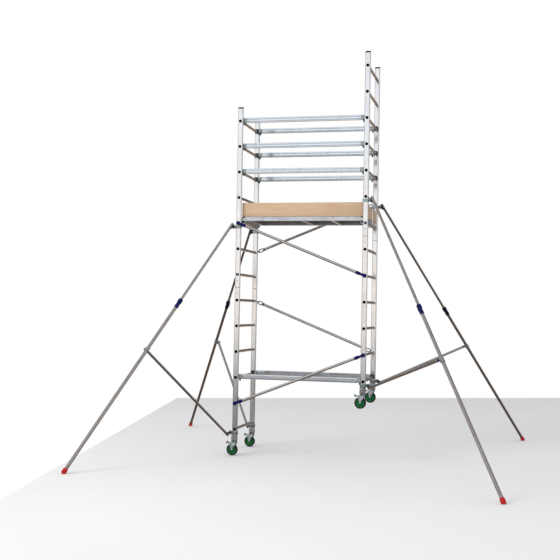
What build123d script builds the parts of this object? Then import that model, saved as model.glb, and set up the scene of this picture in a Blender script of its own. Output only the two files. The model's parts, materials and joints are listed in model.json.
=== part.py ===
from build123d import *
import os

# Two-level mobile tower scaffold. Millimetres, +X along the bay from the low end frame to the
# high one, +Y from front to back, +Z up, z = 0 on the lower floor.

# ---- driving dimensions ----
BAY = 1396.0        # end frame to end frame
WIDTH = 720.0       # stile to stile in one end frame
LEVEL = 560.0       # the high frame stands two rungs above the low one
PITCH = 280.0       # rung spacing, the same in both frames
RUNG0 = 285.0       # lowest rung above the floor of its own frame
RUNGS = 13
LOW_RUNGS = 6       # rungs in the lower section of a frame

STILE = (58.0, 28.0, 12.0)      # section: along X, along Y, corner radius
STILE_WALL = 2.5
STILE_FOOT = 228.0              # bottom end of a stile above its floor
STILE_OVER = 140.0              # bare stile above the top rung
JOINT_GAP = 5.0
RUNG_R, RUNG_WALL = 15.0, 2.0

BEAM = (25.0, 55.0, 11.0)       # guard rails and base beams: thick, high, centre above rung
BEAM_Y = WIDTH / 2 - 28         # beams lie just inside the stiles
BEAM_SETBACK = 68.0             # beam end to rung centre
BRACE_R, BRACE_Y = 15.0, WIDTH / 2 + 33
CLAW_R = 22.0

DECK_TOP, DECK_HALF_Y = 75.0, 322.0     # above its rungs; half width
RAIL_Z, RAIL_H, RAIL_W = 30.0, 31.0, 30.0
BOARD_T, TREAD = 10.0, 0.4              # board, and the non-slip field raised on it
HATCH = (-600.0, -20.0, 230.0)          # low X, high X, half width of the hatch opening
TOE_H, TOE_T = 150.0, 24.0
TOE_X, TOE_Y = BAY / 2 - 28, DECK_HALF_Y + 8

PIN_X = 53.0                    # outrigger hinge line from the stile's centre
CLAMP_DROP, CLAMP_H = 40.0, 34.0
PIN_R, RUN = 6.0, 0.05          # hinge pin and running clearance
UPPER_R, LOWER_R, STRUT_R = 14.0, 17.0, 14.0
TUBE_WALL = 2.0
LOWER_LEN, OVERLAP = 2090.0, 600.0
STRUT_SIDE = 31.0               # the strut ends beside the leg
HEAD_OUT, HEAD_UP = 38.0, 12.0  # leg axis beside the top hinge

WHEEL_R, HUB_R, TRAIL = 62.5, 45.0, 27.0
HEAD_Z = 145.0                  # underside of the caster socket above its floor
PEDAL_PIVOT = (-38.0, 133.5)

# corner: X side, Y side, leg heading from +X in degrees, foot reach from the hinge line
CORNERS = {
    "fl": (-1, -1, -124.0, 2050.0),
    "bl": (-1, 1, 127.5, 2050.0),
    "fr": (1, -1, -52.0, 2336.0),
    "br": (1, 1, 47.5, 2380.0),
}
# side of the leg its strut is on, and how far up the leg from the foot the coupler sits
STRUTS = {"fl": (-1, 1495.0), "bl": (-1, 1495.0), "fr": (-1, 1495.0), "br": (1, 1555.0)}


def floor_of(sx):
    return LEVEL if sx > 0 else 0.0


def rung_z(sx, n):
    """Height of rung n, counted from the bottom of the frame."""
    return floor_of(sx) + RUNG0 + n * PITCH


# leg clamps sit under this rung at the top of the low and the high frame
CLAMP_RUNG = {-1: 8, 1: 7}
DECK_Z = rung_z(-1, 8)
TOP_HINGE = {s: rung_z(s, CLAMP_RUNG[s]) - CLAMP_DROP for s in (-1, 1)}
LOW_HINGE = {s: rung_z(s, 0) - CLAMP_DROP for s in (-1, 1)}


# ---- shape helpers ----
def rod(a, b, r, bore=0.0):
    a, b = Vector(*a), Vector(*b)
    face = Circle(r) - Circle(bore) if bore else Circle(r)
    return extrude(Plane(origin=a, z_dir=b - a) * face, amount=(b - a).length)


def block(x0, x1, y0, y1, z0, z1):
    return Pos((x0 + x1) / 2, (y0 + y1) / 2, (z0 + z1) / 2) * Box(x1 - x0, y1 - y0, z1 - z0)


def slab_xz(points, y0, y1):
    """A polygon in XZ, given thickness from y0 to y1."""
    face = make_face(Polyline(*[(x, y0, z) for x, z in points], close=True))
    return extrude(face, amount=y1 - y0, dir=(0, 1, 0))


def turned(points, origin, axis):
    """A (radius, height) outline turned about an axis through origin."""
    plane = Plane(origin=origin, z_dir=axis)
    face = make_face(Polyline(*[(r, 0, h) for r, h in points], close=True))
    return plane * revolve(face, axis=Axis.Z, revolution_arc=360)


def section(size, wall=0.0):
    w, d, r = size
    outer = RectangleRounded(w, d, r)
    return outer - RectangleRounded(w - 2 * wall, d - 2 * wall, r - wall) if wall else outer


def outer_rim(shape, sy):
    """The edges of a shape that are farthest out on its own side, front or back."""
    return shape.edges().group_by(Axis.Y)[-1 if sy > 0 else 0]


# ---- end frames ----
def stile_section(sx, sy, z0, z1, rungs):
    stile = Pos(sx * BAY / 2, sy * WIDTH / 2, z0) * extrude(section(STILE, STILE_WALL), z1 - z0)
    for n in rungs:
        z, x = rung_z(sx, n), sx * BAY / 2
        stile -= rod((x, sy * WIDTH / 2 - 20, z), (x, sy * WIDTH / 2 + 20, z), RUNG_R)
    return stile


def joint_z(sx):
    return rung_z(sx, LOW_RUNGS) - PITCH / 2


def rung(sx, n):
    x, z, y = sx * BAY / 2, rung_z(sx, n), WIDTH / 2 + STILE[1] / 2
    return rod((x, -y, z), (x, y, z), RUNG_R, RUNG_R - RUNG_WALL)


def rung_plug(sx, sy, n):
    x, z, y = sx * BAY / 2, rung_z(sx, n), sy * (WIDTH / 2 + STILE[1] / 2)
    head = rod((x, y, z), (x, y + sy * 4, z), 17)
    head = fillet(outer_rim(head, sy), 1.5)
    return head + rod((x, y, z), (x, y - sy * 14, z), RUNG_R - RUNG_WALL)


def section_lock(sx, sy):
    """The ringed lock cap on the first rung of the upper section."""
    x, z, y = sx * BAY / 2, rung_z(sx, LOW_RUNGS), sy * (WIDTH / 2 + STILE[1] / 2)
    cap = rod((x, y, z), (x, y + sy * 7, z), 17, 9) + rod((x, y, z), (x, y + sy * 4, z), 9)
    return cap + rod((x, y, z), (x, y - sy * 14, z), RUNG_R - RUNG_WALL)


def spigot(sx, sy):
    w, d, r = (v - 2 * STILE_WALL - 0.4 for v in STILE)
    body = extrude(section((w, d, STILE[2] - STILE_WALL - 0.2), 3), 200)
    return Pos(sx * BAY / 2, sy * WIDTH / 2, joint_z(sx) - 100) * body


def joint_rivets(sx, sy):
    x, y = sx * BAY / 2, sy * (WIDTH / 2 + STILE[1] / 2)
    return [rod((x, y, joint_z(sx) + dz), (x, y + sy * 2, joint_z(sx) + dz), 5)
            for dz in (75, -22, -64, -97)]


def stile_cap(sx, sy):
    cap = extrude(section((STILE[0] + 3, STILE[1] + 3, STILE[2] + 1.5)), 15)
    cap = fillet(cap.edges().group_by(Axis.Z)[-1], 9)
    return Pos(sx * BAY / 2, sy * WIDTH / 2, rung_z(sx, RUNGS - 1) + STILE_OVER) * cap


# ---- beams, guard rails and braces ----
BEAM_RUNGS = [(12, 10), (11, 9), (10, 8), (2, 0)]      # low frame rung, high frame rung


def beam(sy, low):
    z = rung_z(-1, low) + BEAM[2]
    x = BAY / 2 - BEAM_SETBACK
    face = RectangleRounded(BEAM[1], BEAM[0], 4) - RectangleRounded(BEAM[1] - 4, BEAM[0] - 4, 2)
    for h in (-14, 14):      # the two rolled grooves along the outer faces
        for side in (-1, 1):
            face -= Pos(h, side * BEAM[0] / 2) * Rectangle(3, 1.6)
    return extrude(Plane(origin=(-x, sy * BEAM_Y, z), x_dir=(0, 0, 1), z_dir=(1, 0, 0)) * face, 2 * x)


def beam_claw(sx, sy, low):
    """A hook over the rung, with its latch held under it. Outline is about the rung's centre."""
    z, x = rung_z(-1, low), sx * BAY / 2
    outline = [(-22, -14), (-22, 20), (-12, 36), (BEAM_SETBACK, 36), (BEAM_SETBACK, -14), (50, -14),
               (47, -36), (33, -36), (31, -20), (19, -14)]
    y0, y1 = sy * BEAM_Y - BEAM[0] / 2, sy * BEAM_Y + BEAM[0] / 2
    claw = slab_xz([(-sx * u, v) for u, v in outline], y0, y1)
    claw -= rod((0, y0 - 1, 0), (0, y1 + 1, 0), RUNG_R + 0.1)
    claw -= block(-RUNG_R - 0.1, RUNG_R + 0.1, y0 - 1, y1 + 1, -40, 0)
    return Pos(x, 0, z) * claw


# brace: Y side, low frame rung, high frame rung
BRACES = [(-1, 8, 4), (-1, 1, 1), (1, 7, 7), (1, 5, 1)]


def brace_ends(sy, low, high):
    a = Vector(-BAY / 2, sy * BRACE_Y, rung_z(-1, low))
    b = Vector(BAY / 2, sy * BRACE_Y, rung_z(1, high))
    return a, b, (b - a).normalized()


# the tube starts this far from the rung's centre, behind a front claw's waist or a back claw's ring
TUBE_START = {-1: 62.0, 1: 98.0}


def brace_tube(spec):
    a, b, d = brace_ends(*spec)
    inset = d * TUBE_START[spec[0]]
    return rod(a + inset, b - inset, BRACE_R, BRACE_R - TUBE_WALL)


def claw_place(spec, end):
    """The rung's end, the way along the tube and the way out of the frame, for one claw."""
    a, b, d = brace_ends(*spec)
    return (a, b)[end], (d, -d)[end], Vector(0, spec[0], 0)


def claw_head(p, out):
    """A cup over the rung's plug."""
    face_y = p.Y + out.Y * (WIDTH / 2 + STILE[1] / 2 - BRACE_Y)
    head = rod((p.X, face_y + out.Y * 0.5, p.Z), (p.X, p.Y + out.Y * 11, p.Z), CLAW_R)
    head = fillet(outer_rim(head, out.Y), 4)
    return head - rod((p.X, face_y, p.Z), (p.X, face_y + out.Y * 5, p.Z), 17.2)


def front_claw(spec, end):
    """The moulded claw: a cup, a waist and a sleeve on the tube."""
    p, d, out = claw_place(spec, end)
    neck = Plane(origin=p + d * 30, x_dir=d, z_dir=out) * Box(56, 26, 22)
    sleeve = fillet(rod(p + d * 44, p + d * 98, 18.5).edges(), 5)
    return claw_head(p, out) + neck + sleeve - rod(p + d * TUBE_START[-1], p + d * 120, BRACE_R)


def back_claw(spec, end):
    """The cast claw: a cup, an open ring and a ferrule on the tube."""
    p, d, out = claw_place(spec, end)
    start = TUBE_START[1]
    ring = Plane(origin=p + d * 68 - out * 12, x_dir=d, z_dir=out) * (SlotOverall(66, 44) - SlotOverall(44, 22))
    ring = extrude(ring, 14)
    neck = Plane(origin=p + d * 29 - out * 5, x_dir=d, z_dir=out) * Box(24, 22, 14)
    ferrule = fillet(rod(p + d * (start - 6), p + d * (start + 18), 18.5).edges(), 3)
    return claw_head(p, out) + neck + ring + ferrule - rod(p + d * start, p + d * (start + 60), BRACE_R)


# ---- deck ----
def deck_frame():
    z0 = DECK_Z + RAIL_Z
    x_in, x_end = BAY / 2 - 60, BAY / 2 - 18
    parts = []
    for sy in (-1, 1):
        y_out, y_in = DECK_HALF_Y, DECK_HALF_Y - RAIL_W
        rail = block(-x_in, x_in, y_in, y_out, z0, z0 + RAIL_H)
        rail -= block(-x_in, x_in, y_in + 2.5, y_out - 2.5, z0 + 2.5, z0 + RAIL_H - 2.5)
        rail += block(-x_end, x_end, y_out - 4, y_out, z0, z0 + RAIL_H)
        rail += block(-x_in, x_in, y_out - 11, y_out - 8, z0 + RAIL_H, DECK_Z + DECK_TOP)
        rail += block(-x_in, x_in, y_in, y_out - 11, z0 + RAIL_H, DECK_Z + DECK_TOP - BOARD_T)
        parts.append(rail if sy > 0 else mirror(rail, Plane.XZ))
    y = DECK_HALF_Y - RAIL_W
    under = DECK_Z + DECK_TOP - BOARD_T
    for x0 in (HATCH[0] - 26, HATCH[1] - 4, 300.0):       # cross members, the first two hold the hatch
        bar = block(x0, x0 + 30, -y, y, z0 + 4, under)
        parts.append(bar - block(x0 + 2.5, x0 + 27.5, -y, y, z0 + 6.5, under - 2.5))
    for sx in (-1, 1):                                    # end profiles and their hooks over the rungs
        y = DECK_HALF_Y - 4
        outline = [(-22, 2), (-22, 65), (-60, 65), (-60, 2)]
        end = slab_xz([(sx * u, v) for u, v in outline], -y, y)
        end -= slab_xz([(sx * u, v) for u, v in [(-25, 5), (-25, 66), (-57, 66), (-57, 5)]], -y - 1, y + 1)
        outline = [(20, -24), (20, 26), (-28, 26), (-28, -6), (-15, -6)]
        for lo, hi in ((-y, -y + 48), (y - 48, y)):
            hook = slab_xz([(sx * u, v) for u, v in outline], lo, hi)
            hook -= rod((0, -400, 0), (0, 400, 0), RUNG_R + 0.1)
            end += hook - block(-RUNG_R - 0.1, RUNG_R + 0.1, -400, 400, -40, 0)
        parts.append(Pos(sx * BAY / 2, 0, DECK_Z) * end)
    for y in (-150, 150):                                 # fixed halves of the hatch hinges
        for dy in (-24, 12):
            parts.append(hinge_leaf(y + dy, y + dy + 12, 1))
    return parts


def hinge_axis():
    return HATCH[1], DECK_Z + DECK_TOP + 4


def hinge_leaf(y0, y1, side):
    """A leaf with its knuckle, side +1 lies on the fixed board and -1 on the hatch."""
    x, z = hinge_axis()
    lo, hi = sorted((x, x + side * 34))
    leaf = block(lo, hi, y0, y1, z - 4, z - 2.2)
    return rod((x, y0, z), (x, y1, z), 4, 2.0 + RUN if side > 0 else 0) + leaf


def deck_board():
    z1 = DECK_Z + DECK_TOP
    x, y = BAY / 2 - 22, DECK_HALF_Y - 11
    board = block(-x, x, -y, y, z1 - BOARD_T, z1)
    board += block(HATCH[1] + 40, TOE_X - TOE_T - 6, -TOE_Y + 30, TOE_Y - 30, z1 - 1, z1 + TREAD)
    return board - block(HATCH[0], HATCH[1], -HATCH[2], HATCH[2], z1 - 20, z1 + 5)


HANDLE_X, HANDLE_HALF = HATCH[0] + 60, 40.0


def hatch_panel():
    z1 = DECK_Z + DECK_TOP
    gap = 3.0
    panel = block(HATCH[0] + gap, HATCH[1] - 4.5, -HATCH[2] + gap, HATCH[2] - gap,
                  z1 - BOARD_T + 0.3, z1 - 0.2)
    panel -= block(HANDLE_X - 8, HANDLE_X + 40, -HANDLE_HALF - 12, HANDLE_HALF + 12, z1 - 8, z1)
    hx, hz = hinge_axis()
    for y in (-150, 150):
        leaf = block(hx - 34, hx - 3, y - 11.7, y + 11.7, z1 - 0.2, z1 + 2)
        panel += rod((hx, y - 11.7, hz), (hx, y + 11.7, hz), 4) + leaf
        panel += rod((hx, y - 26, hz), (hx, y + 26, hz), 2.0)
    for sy in (-1, 1):                                    # bearing eyes of the pull handle
        y0, y1 = sorted((sy * (HANDLE_HALF + 4.5), sy * (HANDLE_HALF + 12)))
        eye = block(HANDLE_X - 4, HANDLE_X + 4, y0, y1, z1 - 8, z1 - 0.5)
        panel += eye - rod((HANDLE_X, -80, z1 - 4), (HANDLE_X, 80, z1 - 4), 2.5 + RUN)
    return panel


def hatch_handle():
    z = DECK_Z + DECK_TOP - 4
    pull = rod((HANDLE_X, -HANDLE_HALF - 11.5, z), (HANDLE_X, HANDLE_HALF + 11.5, z), 2.5)
    for sy in (-1, 1):
        pull += rod((HANDLE_X, sy * HANDLE_HALF, z), (HANDLE_X + 30, sy * HANDLE_HALF, z), 2.2)
    return pull + rod((HANDLE_X + 30, -HANDLE_HALF - 4, z), (HANDLE_X + 30, HANDLE_HALF + 4, z), 2.8)


def toe_boards():
    z0 = DECK_Z + DECK_TOP
    parts = []
    for s in (-1, 1):
        y0, y1 = sorted((s * TOE_Y, s * (TOE_Y - TOE_T)))
        parts.append(block(-TOE_X, TOE_X, y0, y1, z0, z0 + TOE_H))
        x0, x1 = sorted((s * TOE_X, s * (TOE_X - TOE_T)))
        parts.append(block(x0, x1, -TOE_Y + TOE_T, TOE_Y - TOE_T, z0, z0 + TOE_H))
    return parts


def toe_clip(sx, sy):
    """A bent corner strip inside two boards, hooked over the short one."""
    z0, z1 = DECK_Z + DECK_TOP + 20, DECK_Z + DECK_TOP + TOE_H
    xi, yi = TOE_X - TOE_T, TOE_Y - TOE_T
    clip = block(xi - 40, xi, yi - 3, yi, z0, z1) + block(xi - 3, xi, yi - 40, yi, z0, z1 + 3)
    clip += block(xi - 3, TOE_X + 3, yi - 40, yi, z1, z1 + 3)
    clip += block(TOE_X, TOE_X + 3, yi - 40, yi, z1 - 18, z1 + 3)
    if sx < 0:
        clip = mirror(clip, Plane.YZ)
    return mirror(clip, Plane.XZ) if sy < 0 else clip


# ---- outriggers ----
def stile_clamp(sx, sy, z):
    """A band round the stile whose two lugs hold the hinge pin."""
    w, d, r = STILE
    band = extrude(section((w + 12, d + 12, r + 6)) - section(STILE), CLAMP_H)
    clamp = Pos(0, 0, -CLAMP_H / 2) * band
    for z0, z1 in ((8, 17), (-17, -8)):
        x0, x1 = sorted((sx * (w / 2 + 3), sx * PIN_X))
        clamp += block(x0, x1, -12, 12, z0, z1) + rod((sx * PIN_X, 0, z0), (sx * PIN_X, 0, z1), 14)
    clamp += rod((sx * PIN_X, 0, -22), (sx * PIN_X, 0, 22), PIN_R)
    clamp += rod((sx * PIN_X, 0, 17), (sx * PIN_X, 0, 23), 9)
    clamp += rod((0, sy * (d / 2 + 5), 0), (0, sy * (d / 2 + 9), 0), 7)      # clamping bolt head
    return Pos(sx * BAY / 2, sy * WIDTH / 2, z) * clamp


class Outrigger:
    """One leg, in a frame whose origin is on the hinge line and whose x runs to the foot."""

    def __init__(self, key):
        self.sx, self.sy, self.heading, self.reach = CORNERS[key]
        side, coupler_at = STRUTS[key]
        self.top_z, self.low_z = TOP_HINGE[self.sx], LOW_HINGE[self.sx]
        self.head = Vector(HEAD_OUT, 0, self.top_z + HEAD_UP)
        self.foot = Vector(self.reach, 0, 0)
        self.dir = (self.foot - self.head).normalized()
        self.clamp = self.foot - self.dir * LOWER_LEN
        self.coupler = self.foot - self.dir * coupler_at
        self.beside = Vector(0, side, 0)
        self.strut_low = Vector(26, side * 10, self.low_z - 24)
        self.strut_top = self.coupler + self.beside * STRUT_SIDE
        self.strut_dir = (self.strut_top - self.strut_low).normalized()

    def place(self, shape):
        x = self.sx * (BAY / 2 + PIN_X)
        return Pos(x, self.sy * WIDTH / 2, 0) * Rot(0, 0, self.heading) * shape

    def tubes(self):
        upper = rod(self.head - self.dir * 25, self.clamp + self.dir * OVERLAP,
                    UPPER_R, UPPER_R - TUBE_WALL)
        strut = rod(self.strut_low, self.strut_top, STRUT_R, STRUT_R - TUBE_WALL)
        strut -= Pos(*self.strut_low) * Sphere(13)
        strut -= rod(self.strut_top - self.beside * 30, self.strut_top + self.beside * 30, 13)
        strut -= rod(self.coupler - self.dir * 60, self.coupler + self.dir * 60, 23.5)
        strut = max(strut.solids(), key=lambda s: s.volume)
        return [upper, strut]

    def fittings(self):
        z = self.top_z
        outline = [(6, -7.5), (15.5, -7.5), (44, -26), (66, -26), (30, 28), (16.5, 26), (15.5, 7.5), (6, 7.5)]
        top = slab_xz([(u, z + v) for u, v in outline], -5, 5)
        top += rod((0, 0, z - 7.7), (0, 0, z + 7.7), 14)
        top -= rod(self.head - self.dir * 60, self.head + self.dir * 90, UPPER_R)
        top -= rod((0, 0, z - 30), (0, 0, z + 30), PIN_R + RUN)
        plug = rod(self.head - self.dir * 30, self.head - self.dir * 25, UPPER_R)
        z = self.low_z
        y = self.strut_low.Y
        low = rod((0, 0, z - 7.7), (0, 0, z + 7.7), 14) + block(4, 34, -10, 10, z - 6, z + 6)
        low += block(18, 34, y - 9, y + 9, z - 30, z + 6)
        low -= rod(self.strut_low, self.strut_low + self.strut_dir * 60, STRUT_R)
        low += Pos(*self.strut_low) * Sphere(13)
        low -= rod((0, 0, z - 30), (0, 0, z + 30), PIN_R + RUN)
        arm = rod(self.coupler + self.beside * 18, self.strut_top + self.beside * 7, 13)
        ring = rod(self.coupler - self.dir * 22, self.coupler + self.dir * 22, 23)
        ring = ring + arm - rod(self.coupler - self.dir * 40, self.coupler + self.dir * 40, LOWER_R + 0.06)
        return [top, plug, low, ring]

    def knob(self):
        end = self.strut_top + self.beside * 7
        return fillet(rod(end, end + self.beside * 16, 12).edges(), 3)

    def leg_tube(self):
        return rod(self.clamp, self.foot - self.dir * 18, LOWER_R, LOWER_R - TUBE_WALL)

    def leg_clamp(self):
        lobes = [(UPPER_R + 0.06, -68), (20, -68), (24, -62), (25, -44), (24.5, -24), (20.5, -8), (19.5, 0),
                 (21, 8), (21.5, 30), (20.5, 44), (LOWER_R, 48), (LOWER_R, 0), (UPPER_R + 0.06, 0)]
        body = turned(lobes, self.clamp, self.dir)
        bolt = rod(self.clamp - Vector(0, 18, 0), self.clamp - Vector(0, 29, 0), 7)
        bolt -= rod(self.clamp - self.dir * 20, self.clamp + self.dir * 20, LOWER_R + 0.5)
        return body + bolt

    def leg_foot(self):
        cap = rod(self.foot - self.dir * 62, self.foot + self.dir * 10, 24)
        cap = fillet(cap.edges(), 7)
        cap -= rod(self.foot - self.dir * 80, self.foot - self.dir * 18, LOWER_R)
        return cap - block(self.reach - 200, self.reach + 200, -100, 100, -200, 0)


# ---- casters, in a frame whose origin is on the swivel axis at floor level ----
def caster_socket():
    outline = [(0, HEAD_Z), (30, HEAD_Z), (33, HEAD_Z + 10), (35, HEAD_Z + 28), (35, HEAD_Z + 48),
               (32, HEAD_Z + 68), (28, STILE_FOOT), (0, STILE_FOOT)]
    socket = turned(outline, (-3, 0, 0), (0, 0, 1))
    for z in (HEAD_Z + 22, HEAD_Z + 52):
        socket += rod((-3, -40, z), (-3, 40, z), 6)
    return socket - rod((0, 0, HEAD_Z - 1), (0, 0, HEAD_Z + 45), 12 + RUN)


def caster_fork():
    cheek = [(-50, 142), (14, 142), (24, 134), (16, 122), (-14, 74), (-14, 58), (-20, 51), (-34, 51),
             (-40, 58), (-40, 72), (-50, 112)]
    fork = slab_xz(cheek, -22, -19) + slab_xz(cheek, 19, 22)
    fork += block(-50, 24, -22, 22, 139, 142) + rod((0, 0, 142), (0, 0, HEAD_Z - 0.5), 31)
    fork += rod((0, 0, 142), (0, 0, HEAD_Z + 42), 12)
    px, pz = PEDAL_PIVOT
    fork += rod((px, -22, pz), (px, 22, pz), 3)
    fork += rod((-TRAIL, -22, WHEEL_R), (-TRAIL, 22, WHEEL_R), 6)
    for s in (-1, 1):
        y0, y1 = s * 22, s * 28
        fork += extrude(Plane(origin=(-TRAIL, y0, WHEEL_R), z_dir=(0, s, 0)) * RegularPolygon(10, 6), 6)
    return fork


def caster_hub():
    half = [(6 + RUN, 18.5), (14, 18.5), (17, 10), (22, 7), (34, 7), (38, 14), (HUB_R, 14)]
    outline = half + [(r, -y) for r, y in reversed(half)]
    return turned(outline, (-TRAIL, 0, WHEEL_R), (0, 1, 0))


def caster_tyre():
    half = [(HUB_R, 14), (49, 17), (57, 17), (61.5, 11), (WHEEL_R, 4)]
    outline = half + [(r, -y) for r, y in reversed(half)]
    return turned(outline, (-TRAIL, 0, WHEEL_R), (0, 1, 0))


def caster_pedal():
    px, pz = PEDAL_PIVOT
    tip = [(-62, 136), (-80, 142), (-84, 151), (-91, 151), (-92, 127), (-88, 125), (-60, 128)]
    arm = [(px + 4, pz + 3), (px - 8, pz + 3)] + tip + [(px - 6, pz - 6)]
    pedal = slab_xz(arm, -18, 18) + rod((px, -18, pz), (px, 18, pz), 5)
    tread = [(-54, 134)] + tip + [(-54, 129)]
    pedal += slab_xz(tread, -25, 25)
    return pedal - rod((px, -30, pz), (px, 30, pz), 3 + RUN)


# ---- assembly ----
def build():
    nodes = {}

    def add(name, *shapes):
        for shape in shapes:
            nodes.setdefault(name, []).extend(shape.solids())

    for sx in (-1, 1):
        jz, floor = joint_z(sx), floor_of(sx)
        top = rung_z(sx, RUNGS - 1) + STILE_OVER
        for sy in (-1, 1):
            add("lower_stiles", stile_section(sx, sy, floor + STILE_FOOT, jz - JOINT_GAP / 2, range(LOW_RUNGS)))
            add("upper_stiles", stile_section(sx, sy, jz + JOINT_GAP / 2, top, range(LOW_RUNGS, RUNGS)))
            add("rung_plugs", *[rung_plug(sx, sy, n) for n in range(RUNGS) if n != LOW_RUNGS])
            add("section_locks", section_lock(sx, sy))
            add("joint_spigots", spigot(sx, sy), *joint_rivets(sx, sy))
            add("stile_caps", stile_cap(sx, sy))
            add("stile_clamps", stile_clamp(sx, sy, TOP_HINGE[sx]), stile_clamp(sx, sy, LOW_HINGE[sx]))
            add("toe_clips", toe_clip(sx, sy))
        add("rungs", *[rung(sx, n) for n in range(RUNGS)])
    for low, _ in BEAM_RUNGS:
        for sy in (-1, 1):
            add("beams", beam(sy, low))
            add("beam_claws", beam_claw(-1, sy, low), beam_claw(1, sy, low))
    for spec in BRACES:
        add("brace_tubes", brace_tube(spec))
        for end in (0, 1):
            if spec[0] < 0:
                add("front_brace_claws", front_claw(spec, end))
            else:
                add("back_brace_claws", back_claw(spec, end))
    add("deck_frame", *deck_frame())
    add("deck_board", deck_board())
    add("hatch_panel", hatch_panel())
    add("hatch_handle", hatch_handle())
    add("toe_boards", *toe_boards())
    for key, (sx, sy, _, _) in CORNERS.items():
        leg = Outrigger(key)
        add("outrigger_tubes_" + key, *[leg.place(s) for s in leg.tubes()])
        add("outrigger_fittings_" + key, *[leg.place(s) for s in leg.fittings()])
        add("outrigger_knob_" + key, leg.place(leg.knob()))
        add("leg_tube_" + key, leg.place(leg.leg_tube()))
        add("leg_clamp_" + key, leg.place(leg.leg_clamp()))
        add("leg_foot_" + key, leg.place(leg.leg_foot()))
        at = Pos(sx * BAY / 2, sy * WIDTH / 2, floor_of(sx))
        add("caster_sockets", at * caster_socket())
        add("caster_fork_" + key, at * caster_fork())
        add("caster_hub_" + key, at * caster_hub())
        add("caster_tyre_" + key, at * caster_tyre())
        add("caster_pedal_" + key, at * caster_pedal())
    return nodes


def main():
    os.makedirs("parts", exist_ok=True)
    nodes = build()
    feet = Compound(children=[s for name in nodes if name.startswith("leg_foot") for s in nodes[name]])
    box = feet.bounding_box()
    shift = Pos(-(box.min.X + box.max.X) / 2, -(box.min.Y + box.max.Y) / 2, 0)
    for name, members in nodes.items():
        export_step(shift * Compound(children=members), f"parts/{name}.step")


main()
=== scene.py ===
import json
from math import atan2, cos, hypot, pi, radians, sin, tan

import bmesh
import bpy
from mathutils import Matrix, Vector


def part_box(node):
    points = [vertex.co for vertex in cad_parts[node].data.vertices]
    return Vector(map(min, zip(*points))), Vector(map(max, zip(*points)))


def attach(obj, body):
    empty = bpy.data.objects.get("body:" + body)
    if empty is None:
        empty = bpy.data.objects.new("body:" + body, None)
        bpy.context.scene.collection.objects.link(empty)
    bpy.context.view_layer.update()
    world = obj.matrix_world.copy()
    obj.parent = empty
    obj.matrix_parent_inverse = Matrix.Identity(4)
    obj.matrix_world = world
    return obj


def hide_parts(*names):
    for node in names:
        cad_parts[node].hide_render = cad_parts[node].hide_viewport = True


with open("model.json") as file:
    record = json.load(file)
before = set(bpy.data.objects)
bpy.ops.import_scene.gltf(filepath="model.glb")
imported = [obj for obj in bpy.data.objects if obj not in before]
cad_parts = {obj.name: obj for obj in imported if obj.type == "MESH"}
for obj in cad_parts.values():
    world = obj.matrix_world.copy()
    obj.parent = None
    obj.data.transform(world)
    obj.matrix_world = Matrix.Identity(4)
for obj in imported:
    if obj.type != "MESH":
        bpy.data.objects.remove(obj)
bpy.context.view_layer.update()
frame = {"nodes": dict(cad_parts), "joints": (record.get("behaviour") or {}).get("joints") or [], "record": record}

# Shapes are made in millimetres about their own origin and placed in the frame's metres.
MM = 0.001
JOINTS = {j["name"]: j for j in frame["joints"]}
MOUNTS = {m["name"]: m for m in frame["record"]["mounts"]}
CORNERS = {"fl": (-1, -1), "bl": (-1, 1), "fr": (1, -1), "br": (1, 1)}

PITCH, RUNG0, RUNGS, LOCK_RUNG = 280, 285, 13, 6
STILE_OVER = 140            # bare stile above the top rung
SWIVEL_Z = 145              # height of the swivel joint above a caster's floor
STILE = (58, 28, 12)
RUNG_R = 15
FACE = STILE[1] / 2         # stile centre to its outer face


def joint_at(name):
    return Vector(JOINTS[name]["pos_m"])


# stile centres at their own floor, in metres
STILE_AT = {k: joint_at("caster_swivel_" + k) - Vector((0, 0, SWIVEL_Z * MM)) for k in CORNERS}
FLOOR_Z = {sx: STILE_AT["fl" if sx < 0 else "fr"].z for sx in (-1, 1)}


def rung_z(sx, n):
    return FLOOR_Z[sx] + (RUNG0 + n * PITCH) * MM


# ---------------------------------------------------------------- materials
class Nodes:
    """Adds nodes to a tree and links them."""

    def __init__(self, tree):
        self.tree = tree

    def add(self, kind, **settings):
        node = self.tree.nodes.new(kind)
        for key, value in settings.items():
            setattr(node, key, value)
        return node

    def link(self, source, target):
        if isinstance(source, (int, float, tuple)):
            target.default_value = source
        else:
            self.tree.links.new(source, target)

    def math(self, operation, a, b=0.0, clamp=False):
        node = self.add("ShaderNodeMath", operation=operation, use_clamp=clamp)
        self.link(a, node.inputs[0])
        self.link(b, node.inputs[1])
        return node.outputs[0]

    def span(self, value, low, high, to_low=0.0, to_high=1.0, **settings):
        node = self.add("ShaderNodeMapRange", **settings)
        for name, v in (("From Min", low), ("From Max", high), ("To Min", to_low), ("To Max", to_high)):
            node.inputs[name].default_value = v
        self.link(value, node.inputs["Value"])
        return node.outputs[0]

    def mix(self, factor, a, b):
        node = self.add("ShaderNodeMix", data_type="RGBA")
        self.link(factor, node.inputs[0])
        for value, slot in ((a, 6), (b, 7)):
            if isinstance(value, tuple):
                value = (*value[:3], 1)
            self.link(value, node.inputs[slot])
        return node.outputs[2]


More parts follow.
